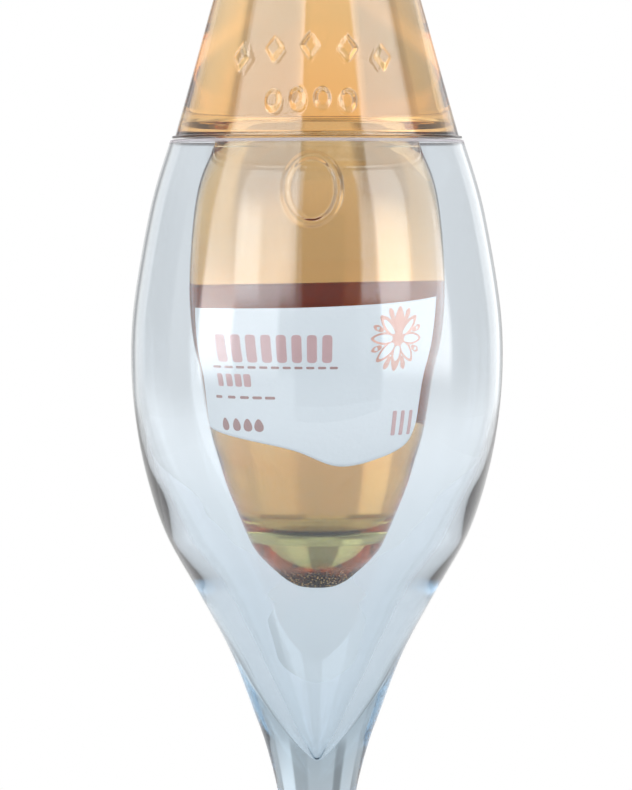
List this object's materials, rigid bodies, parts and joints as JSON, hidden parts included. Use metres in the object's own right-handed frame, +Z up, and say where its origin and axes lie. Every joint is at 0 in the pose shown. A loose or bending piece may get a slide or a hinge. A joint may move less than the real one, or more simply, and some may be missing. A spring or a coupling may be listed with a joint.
{
  "type": "bottle of rose prosecco in a stem glass",
  "caption": "Clear tulip stem glass with a small filled bottle of rose prosecco hanging in its bowl by a collar that rests on the rim.",
  "frame": {"origin": "centre of the foot's underside", "axes": "+Z up along the axis of the glass and bottle, the front label facing -Y"},
  "size_m": [0.0802, 0.0802, 0.3375],
  "materials": {
    "clear_glass": "clear, polished, faint blue-grey",
    "bottle_glass": "clear, polished, faint olive",
    "rose_wine": "clear pale rose-gold drink",
    "white_label": "matt white paper, printed rose",
    "back_label": "matt tinted paper",
    "foil": "satin rose-gold foil",
    "rose_print": "rose-gold foil print"
  },
  "bodies": {
    "root": {"stem_glass": "clear_glass", "bottle": "bottle_glass", "prosecco": "rose_wine", "label_front": "white_label", "label_back": "back_label", "capsule": "foil"}
  },
  "joints": []
}
